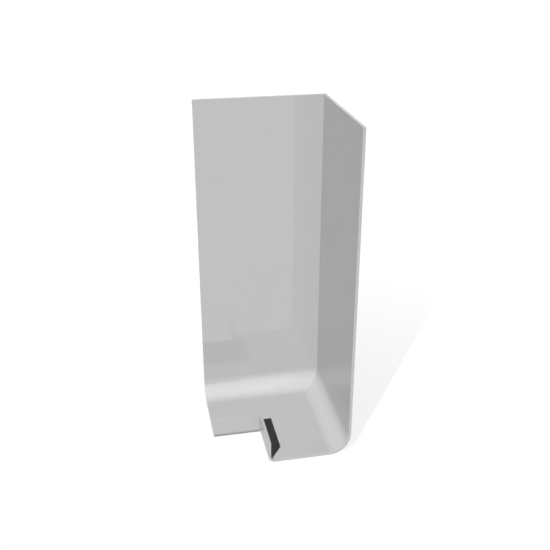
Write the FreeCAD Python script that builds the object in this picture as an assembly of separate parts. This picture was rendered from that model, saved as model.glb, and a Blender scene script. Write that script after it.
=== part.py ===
"""Gutter corner: the one-piece cover for the corner where two gutter boards meet at a right angle.

Two upright walls meet in a sharp vertical corner. The foot of each wall turns through a large
rounded nose into a flat tray under the boards, and the tray's inner edge turns up into a short
lip that catches behind them. One section is carried round the corner and mitred at 45 degrees,
so nose, tray and lip all meet their neighbours on one upright plane.

Units are millimetres. The left leg runs along X and the right leg along Y, the outside corner is
at the highest X and Y, and +Z is up. The origin is the centre of the base, on the underside.
"""
import math
import os

import FreeCAD
import Part

Vector = FreeCAD.Vector

# Sizes over the outside
OVERALL_HEIGHT = 200.0
LEFT_LEG = 79.0
RIGHT_LEG = 79.0
TRAY_DEPTH = 50.4
LIP_HEIGHT = 14.0

# Sheet and its turns, as inside radii, and the slight rounding of its cut edges
SHEET = 1.6
NOSE_INSIDE_RADIUS = 11.5
LIP_INSIDE_RADIUS = 2.5
EDGE_ROUND = 0.08

# Outside radii follow from the sheet
NOSE_RADIUS = NOSE_INSIDE_RADIUS + SHEET
LIP_RADIUS = LIP_INSIDE_RADIUS + SHEET

# How near a corner point lies to a plane that it belongs to
TOLERANCE = 1e-6

NODE = "gutter_corner"


def section_point(inward, up):
    """A point of the section: inward from the wall's outside face, and up from the underside."""
    return Vector(0.0, -inward, up)


def straight(start, end):
    """A straight edge of the section between two (inward, up) points."""
    return Part.makeLine(section_point(*start), section_point(*end))


def turn(centre, radius, start_deg, end_deg):
    """A round edge of the section about a centre; 0 degrees points inward and 90 points up."""

    def on_arc(degrees):
        angle = math.radians(degrees)
        return section_point(centre[0] + radius * math.cos(angle), centre[1] + radius * math.sin(angle))

    middle_deg = (start_deg + end_deg) / 2.0
    return Part.Arc(on_arc(start_deg), on_arc(middle_deg), on_arc(end_deg)).toShape()


def wall_to_lip_section():
    """The closed section across one leg: wall, rounded nose, tray, small turn and lip."""
    nose = (NOSE_RADIUS, NOSE_RADIUS)
    bend = (TRAY_DEPTH - LIP_RADIUS, LIP_RADIUS)
    lip_inside = TRAY_DEPTH - SHEET
    outside = [
        straight((0.0, OVERALL_HEIGHT), (0.0, nose[1])),
        turn(nose, NOSE_RADIUS, 180.0, 270.0),
        straight((nose[0], 0.0), (bend[0], 0.0)),
        turn(bend, LIP_RADIUS, 270.0, 360.0),
        straight((TRAY_DEPTH, bend[1]), (TRAY_DEPTH, LIP_HEIGHT)),
    ]
    lip_edge = straight((TRAY_DEPTH, LIP_HEIGHT), (lip_inside, LIP_HEIGHT))
    inside = [
        straight((lip_inside, LIP_HEIGHT), (lip_inside, bend[1])),
        turn(bend, LIP_INSIDE_RADIUS, 360.0, 270.0),
        straight((bend[0], SHEET), (nose[0], SHEET)),
        turn(nose, NOSE_INSIDE_RADIUS, 270.0, 180.0),
        straight((SHEET, nose[1]), (SHEET, OVERALL_HEIGHT)),
    ]
    wall_edge = straight((SHEET, OVERALL_HEIGHT), (0.0, OVERALL_HEIGHT))
    return Part.Face(Part.Wire(outside + [lip_edge] + inside + [wall_edge]))


def mitre_wedge(length):
    """All that lies on a leg's own side of the upright 45 degree plane through the corner."""
    corners = [
        Vector(0.0, 0.0, 0.0),
        Vector(-length, 0.0, 0.0),
        Vector(-length, -length, 0.0),
    ]
    triangle = Part.Face(Part.makePolygon(corners + corners[:1]))
    return triangle.extrude(Vector(0.0, 0.0, OVERALL_HEIGHT))


def leg(length):
    """One leg along -X from the outside corner, square at its free end and mitred at the corner."""
    run = wall_to_lip_section().extrude(Vector(-length, 0.0, 0.0))
    return run.common(mitre_wedge(length))


def lies_in(face, axis, place):
    """True for a face that lies flat at one place along an axis: 0 is X, 1 is Y and 2 is Z."""
    return all(abs(vertex.Point[axis] - place) < TOLERANCE for vertex in face.Vertexes)


def cut_edges(corner):
    """The edges round the cut faces: the walls' top, the lip's top and the two free ends."""
    cuts = ((2, OVERALL_HEIGHT), (2, LIP_HEIGHT), (0, -LEFT_LEG), (1, -RIGHT_LEG))
    edges = []
    for face in corner.Faces:
        if not any(lies_in(face, axis, place) for axis, place in cuts):
            continue
        for edge in face.Edges:
            if not any(edge.isSame(known) for known in edges):
                edges.append(edge)
    return edges


def gutter_corner():
    """Both legs joined on the mitre, with the origin moved from the outside corner to the base."""
    left = leg(LEFT_LEG)
    right = leg(RIGHT_LEG).mirror(Vector(0.0, 0.0, 0.0), Vector(1.0, -1.0, 0.0))
    joined = left.fuse(right).removeSplitter()
    corner = joined.makeFillet(EDGE_ROUND, cut_edges(joined)).Solids[0]
    corner.translate(Vector(LEFT_LEG / 2.0, RIGHT_LEG / 2.0, 0.0))
    return corner


def main():
    os.makedirs("parts", exist_ok=True)
    corner = gutter_corner()
    corner.exportStep(os.path.join("parts", NODE + ".step"))
    print("%s: valid %s, %d faces" % (NODE, corner.isValid(), len(corner.Faces)))
    print("volume %.1f cubic mm" % corner.Volume)


main()
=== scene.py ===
"""Looks of the gutter corner: its finish, light, floor and camera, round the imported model.

The real thing is one folded sheet, so its solid is shown as it is and gets its finish here.
Lengths are in metres, in the model's own frame: the left leg runs along X, the right leg along Y,
the outside corner is at the highest X and Y, and the underside lies at z = 0.
"""
import math

import bpy
from mathutils import Euler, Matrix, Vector


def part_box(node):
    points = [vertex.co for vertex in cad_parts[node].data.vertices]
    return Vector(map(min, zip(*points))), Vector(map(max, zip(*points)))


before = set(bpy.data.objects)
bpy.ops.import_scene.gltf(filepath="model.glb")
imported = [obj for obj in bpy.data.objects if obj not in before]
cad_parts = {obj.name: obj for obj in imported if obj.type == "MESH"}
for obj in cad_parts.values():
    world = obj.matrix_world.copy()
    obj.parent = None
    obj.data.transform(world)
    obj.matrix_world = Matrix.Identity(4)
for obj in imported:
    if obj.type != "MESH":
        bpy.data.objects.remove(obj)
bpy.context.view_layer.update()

NODE = "gutter_corner"
low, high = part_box(NODE)
centre = (low + high) / 2

# Camera: it turns right of +Y and looks down at a point just beside the middle of the object
CAMERA_YAW = math.radians(11.42)
CAMERA_PITCH = math.radians(25.206)
CAMERA_DISTANCE = 0.46419
AIM_RIGHT = 0.000948
AIM_UP = 0.003661
LENS_MM = 51.706

# Lamps, each with the way that its light travels: key and back are far away, and the fill is near
KEY_DIRECTION = Vector((0.438, 0.614, -0.676))
KEY_STRENGTH = 3.95
KEY_ANGLE = math.radians(0.3)
BACK_DIRECTION = Vector((-0.78, -0.50, -0.04))
BACK_STRENGTH = 2.5
BACK_ANGLE = math.radians(5.0)
FILL_DIRECTION = Vector((0.0, 1.0, 0.0))
FILL_POWER = 0.67
FILL_SIZE = 0.4
LAMP_DISTANCE = 1.0

# Studio: faint light from all round on the object, and white where it is seen or mirrored
AMBIENT = 0.003
BACKGROUND = 1.0

# Floor, where a lamp's shadow takes its share next to the object and has faded out at its reach
FLOOR_HALF = 8.0
FLOOR_TONE = 0.95
FLOOR_WHITE = 1.04
SHADOW_SHARE = 0.18
SHADOW_REACH = 0.3

# Finish of the sheet: a matt grey body under a thin clear gloss skin
TONE = 0.62
BODY_ROUGHNESS = 0.5
SKIN_WEIGHT = 0.62
SKIN_REFRACTION = 1.88
SKIN_ROUGHNESS = 0.01

# Faint mottle of the tone and slight ripple of the skin, with noise scales in features a metre
MOTTLE = 0.006
MOTTLE_SCALE = 60.0
MOTTLE_DETAIL = 3.0
RIPPLE_HEIGHT = 0.000002
RIPPLE_SCALE = 250.0
RIPPLE_DETAIL = 2.0


def grey(tone):
    """An opaque colour of one tone."""
    return (tone, tone, tone, 1.0)


def new_material(name):
    """An empty node material and its output node."""
    material = bpy.data.materials.new(name)
    material.use_nodes = True
    material.node_tree.nodes.clear()
    return material, material.node_tree.nodes.new("ShaderNodeOutputMaterial")


def add(tree, kind, inputs=None, **settings):
    """A node with its settings. Each named input gets a value or another node's output."""
    node = tree.nodes.new(kind)
    for name, value in settings.items():
        setattr(node, name, value)
    for name, value in (inputs or {}).items():
        if isinstance(value, bpy.types.NodeSocket):
            tree.links.new(value, node.inputs[name])
        else:
            node.inputs[name].default_value = value
    return node


def maths(tree, operation, first, second):
    """The output of a Math node on two values or sockets."""
    return add(tree, "ShaderNodeMath", {0: first, 1: second}, operation=operation).outputs[0]


def noise(tree, place, scale, detail):
    """Smooth random values about 0.5, at so many features a metre."""
    inputs = {"Vector": place, "Scale": scale, "Detail": detail}
    return add(tree, "ShaderNodeTexNoise", inputs).outputs[0]


def spread(tree, value, lowest, highest):
    """A 0 to 1 value stretched to run from lowest to highest."""
    inputs = {"Value": value, "To Min": lowest, "To Max": highest}
    return add(tree, "ShaderNodeMapRange", inputs).outputs[0]


def white_when_seen(tree):
    """1 for a ray from the camera, a mirror or a clear thing, so that each sees a white studio."""
    path = add(tree, "ShaderNodeLightPath").outputs
    mirrored = maths(tree, "MAXIMUM", path["Is Glossy Ray"], path["Is Transmission Ray"])
    return maths(tree, "MAXIMUM", path["Is Camera Ray"], mirrored)


def sheet_finish():
    """Smooth grey sheet: the body carries the colour, and the skin does all the mirroring."""
    material, output = new_material("grey_gloss_sheet_finish")
    tree = material.node_tree
    place = add(tree, "ShaderNodeTexCoord").outputs["Object"]
    mottle = noise(tree, place, MOTTLE_SCALE, MOTTLE_DETAIL)
    tone = spread(tree, mottle, TONE - MOTTLE, TONE + MOTTLE)
    colour = add(tree, "ShaderNodeCombineColor", {"Red": tone, "Green": tone, "Blue": tone})
    ripple = noise(tree, place, RIPPLE_SCALE, RIPPLE_DETAIL)
    bump = add(tree, "ShaderNodeBump", {"Height": ripple, "Distance": RIPPLE_HEIGHT}).outputs[0]
    inputs = {
        "Base Color": colour.outputs[0],
        "Roughness": BODY_ROUGHNESS,
        "Normal": bump,
        "Specular IOR Level": 0.0,
        "Coat Weight": SKIN_WEIGHT,
        "Coat Roughness": SKIN_ROUGHNESS,
        "Coat IOR": SKIN_REFRACTION,
        "Coat Normal": bump,
    }
    shader = add(tree, "ShaderNodeBsdfPrincipled", inputs)
    tree.links.new(shader.outputs[0], output.inputs["Surface"])
    return material


def floor_finish():
    """It shows white, and near the object it darkens a little where a lamp is blocked."""
    material, output = new_material("floor_finish")
    tree = material.node_tree
    matt = add(tree, "ShaderNodeBsdfDiffuse", {"Color": grey(FLOOR_TONE)})
    white = add(tree, "ShaderNodeEmission", {"Strength": FLOOR_WHITE})
    place = add(tree, "ShaderNodeTexCoord").outputs["Object"]
    away = add(tree, "ShaderNodeVectorMath", {0: place}, operation="LENGTH").outputs["Value"]
    faded = maths(tree, "DIVIDE", away, SHADOW_REACH)
    whiteness = spread(tree, faded, 1.0 - SHADOW_SHARE, 1.0)
    share = maths(tree, "MULTIPLY", white_when_seen(tree), whiteness)
    mixed = add(tree, "ShaderNodeMixShader", {0: share, 1: matt.outputs[0], 2: white.outputs[0]})
    tree.links.new(mixed.outputs[0], output.inputs["Surface"])
    return material


def make_floor():
    """A wide square under the object."""
    signs = [(-1, -1), (1, -1), (1, 1), (-1, 1)]
    corners = [(x * FLOOR_HALF, y * FLOOR_HALF, low.z) for x, y in signs]
    mesh = bpy.data.meshes.new("floor")
    mesh.from_pydata(corners, [], [(0, 1, 2, 3)])
    mesh.materials.append(floor_finish())
    floor = bpy.data.objects.new("floor", mesh)
    bpy.context.scene.collection.objects.link(floor)


def add_lamp(name, kind, direction, energy):
    """A lamp that shines along a direction at the object's middle, and that no mirror shows."""
    lamp = bpy.data.lights.new(name, kind)
    lamp.energy = energy
    holder = bpy.data.objects.new(name, lamp)
    holder.rotation_euler = direction.to_track_quat("-Z", "Y").to_euler()
    holder.location = centre - direction.normalized() * LAMP_DISTANCE
    holder.visible_glossy = False
    bpy.context.scene.collection.objects.link(holder)
    return lamp


def make_lamps():
    """A small key from the front left, a low lamp behind, and a faint broad fill in front."""
    add_lamp("key", "SUN", KEY_DIRECTION, KEY_STRENGTH).angle = KEY_ANGLE
    add_lamp("back", "SUN", BACK_DIRECTION, BACK_STRENGTH).angle = BACK_ANGLE
    add_lamp("fill", "AREA", FILL_DIRECTION, FILL_POWER).size = FILL_SIZE
    # Light falls once: faces don't light each other, as in the photo
    bpy.context.scene.cycles.diffuse_bounces = 0


def make_studio():
    """The world: a white studio for the camera and for mirrors, and nearly dark for the rest."""
    world = bpy.data.worlds.new("studio")
    world.use_nodes = True
    tree = world.node_tree
    tree.nodes.clear()
    strength = spread(tree, white_when_seen(tree), AMBIENT, BACKGROUND)
    background = add(tree, "ShaderNodeBackground", {"Color": grey(1.0), "Strength": strength})
    output = add(tree, "ShaderNodeOutputWorld")
    tree.links.new(background.outputs[0], output.inputs["Surface"])
    bpy.context.scene.world = world


def make_camera():
    """The photo's camera."""
    camera = bpy.data.objects.new("camera", bpy.data.cameras.new("camera"))
    camera.data.lens = LENS_MM
    turn = Euler((math.pi / 2 - CAMERA_PITCH, 0.0, -CAMERA_YAW))
    camera.rotation_euler = turn
    axes = turn.to_matrix()
    camera.location = centre + axes @ Vector((AIM_RIGHT, AIM_UP, CAMERA_DISTANCE))
    bpy.context.scene.collection.objects.link(camera)
    bpy.context.scene.camera = camera


def dress_sheet():
    """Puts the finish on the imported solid."""
    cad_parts[NODE].material_slots[0].material = sheet_finish()


dress_sheet()
make_floor()
make_lamps()
make_studio()
make_camera()
bpy.context.scene.view_settings.view_transform = "Standard"
